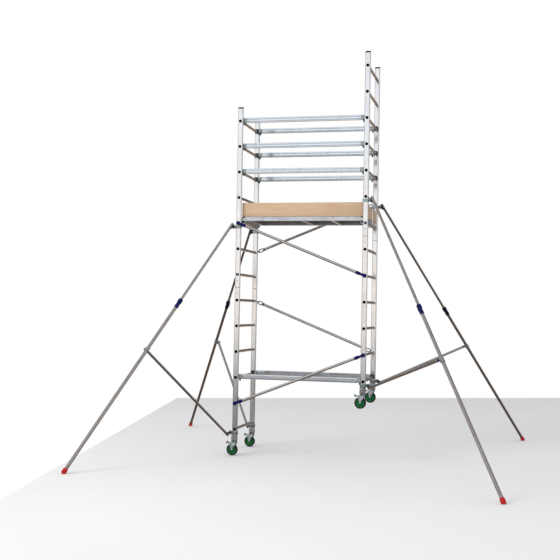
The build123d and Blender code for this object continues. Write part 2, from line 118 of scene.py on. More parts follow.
class Shader(Nodes):
    """One procedural material, built from its nodes."""

    def __init__(self, name, metallic=0.0):
        self.mat = bpy.data.materials.new(name)
        self.mat.use_nodes = True
        super().__init__(self.mat.node_tree)
        self.out = self.tree.nodes["Principled BSDF"]
        self.out.inputs["Metallic"].default_value = metallic
        self.coords = self.add("ShaderNodeTexCoord").outputs["Object"]

    def scaled(self, factors):
        node = self.add("ShaderNodeMapping")
        node.inputs["Scale"].default_value = factors
        self.link(self.coords, node.inputs["Vector"])
        return node.outputs[0]

    def grain(self):
        """Coordinates along each tube, stored in the mesh."""
        return self.add("ShaderNodeAttribute", attribute_name="grain").outputs["Vector"]

    def noise(self, scale, detail=3.0, source=None, distortion=0.0):
        node = self.add("ShaderNodeTexNoise")
        node.inputs["Scale"].default_value = scale
        node.inputs["Detail"].default_value = detail
        node.inputs["Distortion"].default_value = distortion
        self.link(source or self.coords, node.inputs["Vector"])
        return node.outputs["Fac"]

    def bump(self, height, distance, strength=1.0, normal=None):
        node = self.add("ShaderNodeBump")
        node.inputs["Distance"].default_value = distance
        node.inputs["Strength"].default_value = strength
        self.link(height, node.inputs["Height"])
        if normal:
            self.link(normal, node.inputs["Normal"])
        return node.outputs[0]

    def facing(self, axis):
        """How squarely the surface faces along X, Y or Z, from 0 to 1."""
        split = self.add("ShaderNodeSeparateXYZ")
        self.link(self.add("ShaderNodeTexCoord").outputs["Normal"], split.inputs[0])
        return self.math("ABSOLUTE", split.outputs[axis])

    def done(self, color, roughness, normal=None):
        for value, name in ((color, "Base Color"), (roughness, "Roughness")):
            if isinstance(value, tuple):
                value = (*value[:3], 1)
            self.link(value, self.out.inputs[name])
        if normal:
            self.link(normal, self.out.inputs["Normal"])
        return self.mat


def alloy(name, light, dark, stretch, low=0.24, high=0.42, soil=0.5):
    """Aluminium section: drawn lines along it, dull patches, grime and fine scratches.
    stretch is the scale along X, Y and Z, small along the section, or None for stored coordinates."""
    s = Shader(name, metallic=1.0)
    lines = s.grain() if stretch is None else s.scaled(stretch)
    drawn = s.noise(1.0, 4, lines)
    scratches = s.span(s.noise(0.35, 2, lines), 0.60, 0.68)
    patches = s.noise(5, 5)
    grime = s.span(s.noise(22, 6, distortion=0.6), 0.50, 0.80, 0, soil)
    color = s.mix(s.span(patches, 0.3, 0.75), light, tuple(v * 0.9 for v in light))
    color = s.mix(grime, color, dark)
    color = s.mix(s.math("MULTIPLY", scratches, 0.25), color, (0.95, 0.95, 0.93))
    rough = s.math("ADD", s.span(drawn, 0.3, 0.7, low, high), s.math("MULTIPLY", grime, 0.25))
    return s.done(color, rough, s.bump(drawn, 0.00006))


def cast(name, light, dark, low=0.42, high=0.62, metallic=0.9):
    """Cast or zinc-plated metal: fine sand grain, cloudy plating and darker patches at random."""
    s = Shader(name, metallic=metallic)
    grain = s.noise(1400, 3)
    clouds = s.noise(55, 5, distortion=0.8)
    color = s.mix(s.span(clouds, 0.35, 0.7), light, dark)
    color = s.mix(s.span(s.noise(9, 3), 0.45, 0.75, 0, 0.5), color, dark)
    rough = s.span(s.noise(160, 4), 0.3, 0.7, low, high)
    return s.done(color, rough, s.bump(grain, 0.00012, normal=s.bump(s.noise(180, 3), 0.0002)))


def plastic(name, color, worn, low=0.34, high=0.5, shine=0.22):
    """Moulded plastic: fine spark texture, slight mottle, and worn pale edges."""
    s = Shader(name)
    s.out.inputs["Specular IOR Level"].default_value = shine
    mottle = s.span(s.noise(40, 4), 0.3, 0.7)
    base = s.mix(mottle, color, tuple(v * 0.75 for v in color))
    edge = s.span(s.add("ShaderNodeNewGeometry").outputs["Pointiness"], 0.53, 0.60)
    scuffs = s.span(s.noise(260, 4), 0.56, 0.70)
    wear = s.math("MULTIPLY", edge, s.math("ADD", s.math("MULTIPLY", scuffs, 0.7), 0.15), clamp=True)
    rough = s.math("ADD", s.span(s.noise(120, 3), 0.3, 0.7, low, high), s.math("MULTIPLY", scuffs, 0.12))
    return s.done(s.mix(wear, base, worn), rough, s.bump(s.noise(1500, 2), 0.00005))


def rubber(name, color, dust):
    s = Shader(name)
    dusty = s.span(s.noise(70, 6, distortion=0.5), 0.48, 0.78, 0, 0.6)
    rough = s.span(s.noise(200, 4), 0.3, 0.7, 0.55, 0.8)
    return s.done(s.mix(dusty, color, dust), rough, s.bump(s.noise(900, 3), 0.00015))


def timber(name, pale, deep, along):
    """Varnished plywood whose grain runs along X (0) or Y (1), with its plies on the edges."""
    s = Shader(name)
    s.out.inputs["Coat Weight"].default_value = 0.25
    s.out.inputs["Coat Roughness"].default_value = 0.3
    grain = (2.2, 30, 30) if along == 0 else (30, 2.2, 30)
    pores = (30, 1300, 1300) if along == 0 else (1300, 30, 1300)
    figure = s.noise(1.0, 5, s.scaled(grain), distortion=0.9)
    pore = s.span(s.noise(1.0, 3, s.scaled(pores)), 0.56, 0.70)
    tone = s.mix(s.span(figure, 0.32, 0.68), pale, deep)
    tone = s.mix(s.span(s.noise(2.3, 3), 0.35, 0.7, 0, 0.35), tone, tuple(v * 0.86 for v in pale))
    tone = s.mix(s.math("MULTIPLY", pore, 0.35), tone, tuple(v * 0.45 for v in deep))
    plies = s.add("ShaderNodeTexWave", bands_direction="Y" if along == 0 else "X")
    plies.inputs["Scale"].default_value = 95
    plies.inputs["Distortion"].default_value = 0.6
    s.link(s.coords, plies.inputs["Vector"])
    edge = s.math("GREATER_THAN", s.facing(2), 0.7)
    layered = s.mix(s.span(plies.outputs["Fac"], 0.35, 0.6), tuple(v * 0.45 for v in deep), pale)
    tone = s.mix(s.math("MULTIPLY", edge, 0.8), tone, layered)
    rough = s.span(figure, 0.3, 0.7, 0.38, 0.55)
    return s.done(tone, rough, s.bump(pore, 0.0001, 0.6))


def phenolic(name):
    """Dark film-faced plywood with a pressed non-slip mesh on its upper side."""
    s = Shader(name)
    split = s.add("ShaderNodeSeparateXYZ")
    s.link(s.coords, split.inputs[0])
    cell = 2 * pi / 0.006
    weave = [s.math("SINE", s.math("MULTIPLY", s.math(op, split.outputs[0], split.outputs[1]), cell))
             for op in ("ADD", "SUBTRACT")]
    mesh = s.span(s.math("MAXIMUM", *weave), 0.55, 0.95)
    top = s.math("GREATER_THAN", s.facing(2), 0.8)
    dust = s.span(s.noise(6, 6, distortion=0.7), 0.45, 0.8, 0, 0.55)
    film = s.mix(s.span(s.noise(3, 3), 0.3, 0.7), (0.060, 0.036, 0.024), (0.036, 0.022, 0.016))
    film = s.mix(dust, film, (0.22, 0.19, 0.16))
    sheets = s.span(s.noise(1.0, 3, s.scaled((6, 6, 900))), 0.42, 0.58)
    layers = s.mix(sheets, (0.11, 0.06, 0.03), (0.36, 0.24, 0.14))
    color = s.mix(top, layers, film)
    rough = s.math("ADD", s.math("MULTIPLY", mesh, 0.12), s.span(dust, 0, 0.5, 0.34, 0.6))
    return s.done(color, rough, s.bump(s.math("MULTIPLY", mesh, top), 0.0006))


STILE_ALLOY = alloy("stile_alloy", (0.80, 0.79, 0.78), (0.50, 0.48, 0.46), (420, 420, 3), 0.09, 0.20, 0.25)
BEAM_ALLOY = alloy("beam_alloy", (0.72, 0.76, 0.80), (0.40, 0.42, 0.45), (3, 420, 420), 0.10, 0.22, 0.3)
DECK_ALLOY = alloy("deck_alloy", (0.80, 0.83, 0.87), (0.35, 0.36, 0.38), (4, 300, 300), 0.3, 0.5, 0.4)
# Painted shade: the rungs' aluminium is a darker, browner copy of the stiles' aluminium, so that the rungs read as
# shaded.
RUNG_ALLOY_SHADED = alloy("rung_alloy", (0.58, 0.53, 0.49), (0.23, 0.19, 0.16), None, 0.22, 0.4, 0.5)
TUBE_ALLOY = alloy("tube_alloy", (0.78, 0.755, 0.73), (0.36, 0.31, 0.27), None, 0.22, 0.4, 0.45)
# Painted shade: the outrigger tubes' aluminium is a darker, browner copy of the stiles' aluminium, so that the
# legs read as shaded.
LEG_ALLOY_SHADED = alloy("leg_alloy", (0.58, 0.53, 0.50), (0.24, 0.19, 0.16), None, 0.12, 0.26, 0.5)
CLAW_ALLOY = cast("claw_alloy", (0.62, 0.70, 0.70), (0.34, 0.39, 0.39))
CAST_ALLOY = cast("cast_alloy", (0.62, 0.63, 0.635), (0.34, 0.34, 0.34))
RING_CAST = cast("ring_cast", (0.42, 0.42, 0.54), (0.18, 0.18, 0.24))
ZINC = cast("zinc", (0.66, 0.72, 0.74), (0.36, 0.41, 0.42), 0.3, 0.5, 1.0)
# Painted light and shade: lit copies of the clamp bands' zinc, green on the front left and pale on the other
# corners, and a darker shaded copy for the low bands.
BAND_GREEN = cast("band_green_zinc", (0.62, 0.72, 0.61), (0.36, 0.44, 0.36), 0.32, 0.52, 1.0)
BAND_SHADED_ZINC = cast("band_shaded_zinc", (0.40, 0.45, 0.46), (0.20, 0.24, 0.24), 0.32, 0.52, 1.0)
BAND_PALE = cast("band_pale_zinc", (0.68, 0.84, 0.85), (0.42, 0.54, 0.55), 0.32, 0.52, 1.0)
DARK_STEEL = cast("dark_steel", (0.10, 0.11, 0.11), (0.04, 0.04, 0.045), 0.35, 0.55)
BLUE = plastic("blue_plastic", (0.0005, 0.006, 0.095), (0.01, 0.03, 0.20), 0.34, 0.5)
# Painted shade: a darker copy of the blue plastic, used on the back leg clamps and the back left hinge knuckle.
SHADED_BLUE = plastic("shaded_blue_plastic", (0.003, 0.005, 0.030), (0.05, 0.06, 0.12), 0.34, 0.5)
RING_BLUE = plastic("ring_plastic", (0.005, 0.011, 0.11), (0.20, 0.25, 0.45))
BLACK = plastic("black_plastic", (0.003, 0.003, 0.004), (0.02, 0.02, 0.02), 0.5, 0.65, shine=0.06)
LATCH = plastic("latch_plastic", (0.008, 0.045, 0.028), (0.10, 0.20, 0.15))
CAP_PLASTIC = plastic("cap_plastic", (0.010, 0.007, 0.024), (0.04, 0.03, 0.07), 0.5, 0.65)
CLIP_PLASTIC = plastic("clip_plastic", (0.20, 0.27, 0.48), (0.65, 0.70, 0.80))
GREEN = plastic("wheel_plastic", (0.0005, 0.150, 0.028), (0.01, 0.27, 0.07), 0.3, 0.45)
RED = rubber("red_rubber", (0.50, 0.003, 0.004), (0.40, 0.02, 0.02))
TYRE = rubber("tyre_rubber", (0.010, 0.008, 0.008), (0.09, 0.07, 0.06))
TOE_LONG = timber("toe_timber_long", (0.70, 0.50, 0.32), (0.58, 0.385, 0.225), 0)
TOE_CROSS = timber("toe_timber_cross", (0.66, 0.44, 0.26), (0.54, 0.33, 0.175), 1)
PLY = phenolic("deck_ply")


# ---------------------------------------------------------------- shapes, in millimetres
def lathe(profile, sides=48, ring=False):
    """(radius, height) outline turned about Z. A ring is a closed outline clear of the axis."""
    bm = bmesh.new()
    rows = []
    for r, z in profile:
        if r < 1e-6:
            rows.append([bm.verts.new((0, 0, z))])
        else:
            rows.append([bm.verts.new((r * cos(2 * pi * i / sides), r * sin(2 * pi * i / sides), z))
                         for i in range(sides)])
    for a, b in zip(rows, rows[1:] + rows[:1] if ring else rows[1:]):
        for i in range(sides):
            j = (i + 1) % sides
            if len(a) == len(b) == 1:
                break
            if len(a) == 1:
                bm.faces.new((a[0], b[i], b[j]))
            elif len(b) == 1:
                bm.faces.new((a[i], b[0], a[j]))
            else:
                bm.faces.new((a[i], b[i], b[j], a[j]))
    bmesh.ops.recalc_face_normals(bm, faces=bm.faces)
    return bm


def rounded(points, radius, steps=5):
    """The outline with each corner rounded. radius is one number or one for each point."""
    radii = radius if isinstance(radius, (list, tuple)) else [radius] * len(points)
    out = []
    for i, (p, r) in enumerate(zip(points, radii)):
        a, b = Vector(points[i - 1]), Vector(points[(i + 1) % len(points)])
        p = Vector(p)
        u, v = (a - p).normalized(), (b - p).normalized()
        half = u.angle(v) / 2
        if r <= 0 or half > radians(88):
            out.append(tuple(p))
            continue
        run = min(r / tan(half), 0.49 * (a - p).length, 0.49 * (b - p).length)
        r = run * tan(half)
        centre = p + (u + v).normalized() * (r / sin(half))
        start, end = p + u * run - centre, p + v * run - centre
        turn = start.angle_signed(end)
        for k in range(steps + 1):
            q = start.copy()
            q.rotate(Matrix.Rotation(-turn * k / steps, 2))
            out.append(tuple(centre + q))
    return out


def rect(x0, x1, y0, y1):
    return [(x0, y0), (x1, y0), (x1, y1), (x0, y1)]


def circle(r, sides=32):
    return [(r * cos(2 * pi * i / sides), r * sin(2 * pi * i / sides)) for i in range(sides)]


def stadium(length, width, centre=(0, 0), steps=12):
    """A slot's outline, length along X."""
    r, c = width / 2, (length - width) / 2
    arc = [(sin(pi * k / steps), -cos(pi * k / steps)) for k in range(steps + 1)]
    right = [(centre[0] + c + r * x, centre[1] + r * y) for x, y in arc]
    return right + [(centre[0] - c - r * x, centre[1] - r * y) for x, y in arc]


def slab(outline, low, high, bevel=0.0, hole=None):
    """An outline in XY, from height low to high, with softened edges."""
    bm = bmesh.new()
    loops = [outline] + ([hole] if hole else [])
    caps = []
    for z in (low, high):
        edges = []
        for loop in loops:
            vs = [bm.verts.new((x, y, z)) for x, y in loop]
            edges += [bm.edges.new((vs[i - 1], vs[i])) for i in range(len(vs))]
        caps.append(edges)
    bm.verts.ensure_lookup_table()
    count, start = len(bm.verts) // 2, 0
    for loop in loops:
        n = len(loop)
        for i in range(n):
            a, b = start + (i - 1) % n, start + i
            bm.faces.new([bm.verts[v] for v in (a, b, b + count, a + count)])
        start += n
    for edges in caps:
        if hole:
            bmesh.ops.triangle_fill(bm, edges=edges, use_beauty=True)
        else:
            bmesh.ops.contextual_create(bm, geom=edges)
    bmesh.ops.recalc_face_normals(bm, faces=bm.faces)
    if bevel:
        rim = [e for e in bm.edges if len(e.link_faces) == 2 and e.calc_face_angle(0) > radians(50)
               and abs(e.verts[0].co.z - e.verts[1].co.z) < 1e-6]
        bmesh.ops.bevel(bm, geom=rim, offset=bevel, segments=2, profile=0.5, affect="EDGES",
                        clamp_overlap=True)
    return bm


def skin(levels):
    """A closed skin through loops of points, all with the same number of points."""
    bm = bmesh.new()
    rows = [[bm.verts.new(p) for p in level] for level in levels]
    for a, b in zip(rows, rows[1:]):
        for i in range(len(a)):
            bm.faces.new((a[i - 1], a[i], b[i], b[i - 1]))
    bm.faces.new(rows[0])
    bm.faces.new(rows[-1])
    bmesh.ops.recalc_face_normals(bm, faces=bm.faces)
    return bm


def block(x0, x1, y0, y1, z0, z1, bevel=1.0):
    bm = bmesh.new()
    bmesh.ops.create_cube(bm, size=1)
    scale = Matrix.Diagonal((x1 - x0, y1 - y0, z1 - z0, 1))
    bm.transform(Matrix.Translation(((x0 + x1) / 2, (y0 + y1) / 2, (z0 + z1) / 2)) @ scale)
    if bevel:
        bmesh.ops.bevel(bm, geom=bm.edges[:], offset=bevel, segments=2, profile=0.5, affect="EDGES")
    return bm


def bent_rod(points, r, sides=14):
    """A round bar along a line of points."""
    pts = [Vector(p) for p in points]
    rows, up = [], None
    for i, p in enumerate(pts):
        along = (pts[min(i + 1, len(pts) - 1)] - pts[max(i - 1, 0)]).normalized()
        up = up or along.orthogonal()
        up = (up - along * up.dot(along)).normalized()
        side = along.cross(up)
        rows.append([p + (up * cos(2 * pi * k / sides) + side * sin(2 * pi * k / sides)) * r
                     for k in range(sides)])
    return skin(rows)


def tube(length, r, wall, sides=40, ribs=0, rib_depth=0.4):
    """An open tube along Z with softened ends, and fine ribs if asked."""
    c = 0.6
    outline = [(r - wall, c), (r - wall + c, 0), (r - c, 0), (r, c), (r, length - c), (r - c, length),
               (r - wall + c, length), (r - wall, length - c)]
    bm = lathe(outline, sides=2 * ribs if ribs else sides, ring=True)
    if ribs:
        for v in bm.verts:
            i = round(atan2(v.co.y, v.co.x) / (pi / ribs))
            if i % 2 and hypot(v.co.x, v.co.y) > r - 2 * c:
                v.co.x, v.co.y = (q * (1 - rib_depth / r) for q in v.co.xy)
    return bm


def dome(r, h, sides=24):
    """A rivet or button head standing on Z = 0."""
    return lathe([(0, -1), (r, -1), (r, 0.25 * h), (0.86 * r, 0.62 * h), (0.55 * r, 0.9 * h), (0, h)], sides)


def hex_head(r, h):
    """A bolt head on its washer, with the thread's end standing out of it."""
    washer = lathe([(0, -1.2), (r * 1.25, -1.2), (r * 1.25, -0.2), (r * 1.15, 0.2), (0, 0.2)], 28)
    end = [(0, h - 0.5), (r * 0.55, h - 0.5), (r * 0.55, h + 1.6), (r * 0.4, h + 2.2), (0, h + 2.2)]
    return merged(slab(circle(r, 6), 0, h, 0.5), washer, lathe(end, 18))


def merged(first, *others):
    for bm in others:
        mesh = bpy.data.meshes.new("part")
        bm.to_mesh(mesh)
        first.from_mesh(mesh)
        bpy.data.meshes.remove(mesh)
        bm.free()
    return first


def moved(bm, x=0, y=0, z=0, axis=None, angle=0):
    turn = Matrix.Rotation(radians(angle), 4, axis) if axis else Matrix()
    bm.transform(Matrix.Translation((x, y, z)) @ turn)
    return bm


def along_x(bm):
    """Turns a shape made about Z so that it lies along X."""
    return moved(bm, axis="Y", angle=90)


def along_y(bm):
    return moved(bm, axis="X", angle=-90)


def upright(bm):
    """Stands an outline drawn in XY on edge, its Y upwards."""
    return moved(bm, axis="X", angle=90)


def sided(way, a, b):
    """The span from a to b, on the side that way gives."""
    return sorted((way * a, way * b))


def place(origin, z_dir, x_dir=None):
    """Millimetres about origin, with local Z and X in the given directions."""
    z = Vector(z_dir).normalized()
    x = Vector(x_dir) if x_dir is not None else z.orthogonal()
    x = (x - z * x.dot(z)).normalized()
    basis = Matrix((x, z.cross(x), z)).transposed().to_4x4()
    return Matrix.Translation(origin) @ basis @ Matrix.Scale(MM, 4)


def level(point):
    """Millimetres about a point, with the frame's own directions."""
    return place(point, (0, 0, 1), (1, 0, 0))


class Piece:
    """Collects shapes into one object that rides on a body."""

    def __init__(self, name):
        self.name, self.bm = name, bmesh.new()
        self.grain = self.bm.verts.layers.float_vector.new("grain")
        self.materials = []

    def add(self, shape, matrix=Matrix(), material=None):
        if material not in self.materials:
            self.materials.append(material)
        layer = shape.verts.layers.float_vector.new("grain")
        for v in shape.verts:
            v[layer] = (v.co.x * 0.9, v.co.y * 0.9, v.co.z * 0.004)
        for f in shape.faces:
            f.material_index = self.materials.index(material)
            f.smooth = True
        shape.transform(matrix)
        merged(self.bm, shape)
        return self

    def done(self, body, slot, *replaced, sharp=38):
        mesh = bpy.data.meshes.new(self.name)
        self.bm.to_mesh(mesh)
        self.bm.free()
        mesh.set_sharp_from_angle(angle=radians(sharp))
        for m in self.materials:
            mesh.materials.append(m)
        obj = bpy.data.objects.new(self.name, mesh)
        bpy.context.scene.collection.objects.link(obj)
        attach(obj, body)
        if replaced:
            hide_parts(*replaced)
        return obj


def moulded(shapes, voxel=1.1, smooth=6):
    """Overlapping shapes fused into one skin with soft hollows between them."""
    mesh = bpy.data.meshes.new("mould")
    merged(shapes[0], *shapes[1:]).to_mesh(mesh)
    obj = bpy.data.objects.new("mould", mesh)
    bpy.context.scene.collection.objects.link(obj)
    skin = obj.modifiers.new("skin", "REMESH")
    skin.mode, skin.voxel_size = "VOXEL", voxel
    relax = obj.modifiers.new("relax", "SMOOTH")
    relax.factor, relax.iterations = 0.5, smooth
    thin = obj.modifiers.new("thin", "DECIMATE")
    thin.ratio = 0.4
    done = obj.evaluated_get(bpy.context.evaluated_depsgraph_get())
    bm = bmesh.new()
    bm.from_mesh(done.to_mesh())
    bpy.data.objects.remove(obj)
    return bm


def every_stile():
    for key, (sx, sy) in CORNERS.items():
        yield key, sx, sy, STILE_AT[key]


def outer_face(at, sy, z):
    """A point on the stile's outer face, in metres, with Z pointing out of it."""
    return place((at.x, at.y + sy * FACE * MM, z), (0, sy, 0), (1, 0, 0))


# ---------------------------------------------------------------- end frames
# nodes that keep their CAD shape
for node, paint in (("lower_stiles", STILE_ALLOY), ("upper_stiles", STILE_ALLOY), ("deck_frame", DECK_ALLOY),
                    ("deck_board", PLY), ("hatch_panel", PLY), ("hatch_handle", ZINC),
                    ("toe_clips", CLIP_PLASTIC)):
    data = frame["nodes"][node].data
    data.materials.clear()
    data.materials.append(paint)


def build_rungs():
    piece = Piece("ribbed_rungs")
    front = {-1: STILE_AT["fl"], 1: STILE_AT["fr"]}
    back = {-1: STILE_AT["bl"], 1: STILE_AT["br"]}
    for sx in (-1, 1):
        length = (back[sx].y - front[sx].y) / MM + 2 * FACE
        for n in range(RUNGS):
            origin = (front[sx].x, front[sx].y - FACE * MM, rung_z(sx, n))
            piece.add(tube(length, RUNG_R, 2, ribs=18), place(origin, (0, 1, 0)), RUNG_ALLOY_SHADED)
    piece.done("tower", "rung_alloy", "rungs")


def build_plugs():
    """A plug in each rung's end, and a ringed button where it locks the sections."""
    shank = [(0, -14), (12.8, -14), (12.8, -0.2), (17, -0.2)]
    cap = shank + [(17, 2), (16, 3.4), (14.2, 4), (12, 3.4), (11, 1.8), (6, 1.4), (5, 2.4), (0, 2.6)]
    ring = shank + [(17, 5), (15.6, 7), (12.4, 7), (11, 5.6), (10.4, 3), (0, 3)]
    plugs, locks = Piece("rung_end_plugs"), Piece("section_lock_buttons")
    for _, sx, sy, at in every_stile():
        for n in range(RUNGS):
            spot = outer_face(at, sy, rung_z(sx, n))
            if n != LOCK_RUNG:
                plugs.add(lathe(cap, 36), spot, BLACK)
                continue
            locks.add(lathe(ring, 40), spot, RING_BLUE)
            button = merged(moved(dome(8.6, 3.2, 28), z=3),
                            slab(rounded(rect(-6, 6, -1.4, 1.4), 1.2), 5.4, 6.9, 0.3))
            locks.add(button, spot, ZINC)
    plugs.done("tower", "black_plastic", "rung_plugs")
    locks.done("tower", "lock_plastic", "section_locks")


def build_stile_caps():
    """A domed cap on the top of each stile."""
    piece = Piece("domed_stile_caps")
    w, d, r = (v + e for v, e in zip(STILE, (3, 3, 1.5)))
    dome_rows = [(10 - 9 * cos(a), 7 + 7 * sin(a)) for a in (0.3, 0.6, 0.9, 1.2, pi / 2)]
    rows = [(1, -4), (1, 7)] + dome_rows
    for _, sx, sy, at in every_stile():
        spot = level((at.x, at.y, rung_z(sx, RUNGS - 1) + STILE_OVER * MM))
        levels = []
        for inset, z in rows:
            x, y = w / 2 - inset, d / 2 - inset
            loop = rounded(rect(-x, x, -y, y), max(r - inset, 3), 6)
            levels.append([(u, v, z) for u, v in loop])
        piece.add(skin(levels), spot, CAP_PLASTIC)
    piece.done("tower", "black_plastic", "stile_caps")


def build_section_joints():
    """The sleeve in the gap between sections, in dark steel as painted shade for the shadowed gap, and the blind
    rivets above and below it.
    """
    sleeves, rivets = Piece("section_sleeves"), Piece("section_rivets")
    w, d, r = (v - 5.4 for v in STILE)
    corner = rect(-w / 2, w / 2, -d / 2, d / 2)
    bore = [(x * 0.82, y * 0.68) for x, y in rounded(corner, r + 3, 8)]
    for _, sx, sy, at in every_stile():
        z = rung_z(sx, LOCK_RUNG) - PITCH / 2 * MM
        sleeve = slab(rounded(corner, r + 3, 8), -100, 100, 0.6, hole=bore)
        # Painted shade: the sleeve is dark so that the gap between sections reads as a shadow line.
        sleeves.add(sleeve, level((at.x, at.y, z)), DARK_STEEL)
        for dz, r_head in ((75, 6), (-22, 4), (-64, 6), (-97, 3.5)):
            spot = outer_face(at, sy, z + dz * MM)
            rivets.add(dome(r_head, 1.9), spot, CAST_ALLOY)
            rivets.add(moved(dome(r_head * 0.55, 0.5, 16), z=1.7), spot, DARK_STEEL)
    sleeves.done("tower", "cast_alloy", "joint_spigots")
    rivets.done("tower", "cast_alloy")


# ---------------------------------------------------------------- beams and their claws
BEAM_RUNGS = (12, 11, 10, 2)
BEAM_IN, BEAM_T = 28, 25        # stile centre to the beam's middle, and its thickness
BEAM_RISE, BEAM_SETBACK = 11, 68    # rung to the beam's middle, and to its end


def beam_half_outline():
    """The front half of the rolled section, as height and distance from the middle."""
    face = BEAM_T / 2
    points = [(-27.5, 0), (-27.5, face - 4)]
    points += [(-27.5 + 4 - 4 * cos(a), face - 4 + 4 * sin(a)) for a in (pi / 8, pi / 4, 3 * pi / 8)]
    for centre, half_width, depth in ((-15, 4.6, 2.2), (10, 3.6, 1.7)):
        groove = ((-1, 0), (-0.3, 1), (0.3, 1), (1, 0))
        points += [(centre + half_width * u, face - depth * v) for u, v in groove]
    points += [(27.5 - 4 + 4 * sin(a), face - 4 + 4 * cos(a)) for a in (pi / 8, pi / 4, 3 * pi / 8)]
    return points + [(27.5, face - 4), (27.5, 0)]


def build_beams():
    """Guard rails and base beams: hollow rolled sections with two grooves down each face."""
    piece = Piece("rolled_beams")
    half = beam_half_outline()
    outline = half + [(z, -y) for z, y in reversed(half[1:-1])]
    bore = rounded(rect(-25.5, 25.5, -10, 10), 3, 3)
    for sy, left, right in ((-1, "fl", "fr"), (1, "bl", "br")):
        for n in BEAM_RUNGS:
            y, z = STILE_AT[left].y - sy * BEAM_IN * MM, rung_z(-1, n) + BEAM_RISE * MM
            start = STILE_AT[left].x + BEAM_SETBACK * MM
            length = (STILE_AT[right].x - STILE_AT[left].x) / MM - 2 * BEAM_SETBACK
            bar = slab(outline, 0, length, 0.0, hole=bore)
            piece.add(bar, place((start, y, z), (1, 0, 0), (0, 0, 1)), BEAM_ALLOY)
    piece.done("tower", "beam_alloy", "beams", sharp=25)


def claw_mouth():
    return [((RUNG_R + 0.1) * cos(pi * k / 16), (RUNG_R + 0.1) * sin(pi * k / 16)) for k in range(17)]


def build_beam_claws():
    piece = Piece("cast_beam_claws")
    hook = rounded([(-15.2, -14), (-22, -14), (-22, 20), (-12, 36), (26, 36), (26, -14), (15.2, -14)],
                   [0, 2, 12, 10, 0, 0, 0]) + claw_mouth()
    body = rounded(rect(24, 68, -14, 36), 2)
    for _, sx, sy, at in every_stile():
        y = at.y - sy * BEAM_IN * MM
        for n in BEAM_RUNGS:
            n_here = n if sx < 0 else n - 2
            spot = place((at.x, y, rung_z(sx, n_here)), (0, sx, 0), (-sx, 0, 0))
            half = BEAM_T / 2
            # Painted shade: the hook beside the stile is near-black steel, for the shade there; the claw's body
            # beyond it is lighter.
            piece.add(slab(hook, -half + 1.5, half - 1.5, 1.6), spot, DARK_STEEL)
            piece.add(slab(body, -half + 1, half - 1, 1.6), spot, CLAW_ALLOY)
            for side in (-1, 1):
                lo, hi = sided(side, half - 1.2, half)
                rib = rounded(rect(26, 64, -9, 31), 5)
                rim = rounded(rect(29, 61, -6, 28), 4)
                piece.add(slab(rib, lo, hi, 0.4, hole=rim), spot, CLAW_ALLOY)
                for x, v in ((34, 2), (52, 19)):
                    head = dome(3.6, 1.6)
                    piece.add(moved(head, x, v, side * (half - 1.7), "X", 0 if side > 0 else 180), spot, ZINC)
            latch = rounded([(29, -10), (31, -20), (33, -36), (47, -36), (50, -14), (50, -10)],
                            [0, 4, 3, 4, 2, 0])
            piece.add(slab(latch, -9, 9, 1.2), spot, LATCH)
            for way, turn in ((1, 0), (-1, 180)):
                piece.add(moved(dome(3.2, 1.4), 41, -22, way * 8.6, "X", turn), spot, ZINC)
    piece.done("tower", "claw_alloy", "beam_claws")


# ---------------------------------------------------------------- diagonal braces
BRACES = [(-1, 8, 4), (-1, 1, 1), (1, 7, 7), (1, 5, 1)]     # side, low frame rung, high frame rung
BRACE_OUT, BRACE_R = 19, 15                                 # axis outside the stile's face, radius
TUBE_START = {-1: 62, 1: 98}


def front_claw():
    """Moulded claw, X along the brace and Z out of the frame, about the rung's end."""
    head = lathe([(0, 0.5), (21.4, 0.5), (22, 3), (22, 20), (20.6, 25.5), (16.5, 29.2), (12, 29.6),
                  (9.5, 28.2), (6.5, 28.2), (4, 29.4), (0, 29.6)], 48)
    waist = slab(rounded([(8, -15), (33, -12.5), (52, -14), (52, 14), (33, 12.5), (8, 15)], 8), 6, 28, 3)
    lobe = [(0, 43), (11, 43), (15, 46.5), (17.6, 54), (18.4, 64), (18.4, 84), (17.2, 93), (15.5, 97),
            (0, 97)]
    lobe = moved(along_x(lathe(lobe, 44)), z=BRACE_OUT)
    arc = [(12.5 * cos(a), 16.6 * sin(a)) for a in [radians(40 + 10 * k) for k in range(11)]]
    ridges = [moved(bent_rod([(x, y, z) for y, z in arc], 1.4, 8), z=BRACE_OUT + 1.5)
              for x in (62, 69, 76, 83)]
    return moulded([head, waist, lobe, *ridges])


def back_claw():
    """Cast claw with an open ring between the cup and the ferrule."""
    head = lathe([(0, 0.5), (21.6, 0.5), (22, 2), (22, 22), (20, 27.5), (15, 30), (8, 29.4), (0, 29.4)], 44)
    neck = block(12, 44, -10.5, 10.5, 7.5, 20.5, 3)
    ring = slab(stadium(66, 44, (68, 0)), 7.5, 20.5, 2.6, hole=stadium(43, 21, (68, 0)))
    ferrule = [(0, 92), (13, 92), (17, 94), (18.4, 98), (18.4, 109), (17.6, 113.5), (15.4, 115.5), (0, 115.5)]
    ferrule = moved(along_x(lathe(ferrule, 40)), z=BRACE_OUT)
    return moulded([head, neck, ring, ferrule], 1.2, 4)


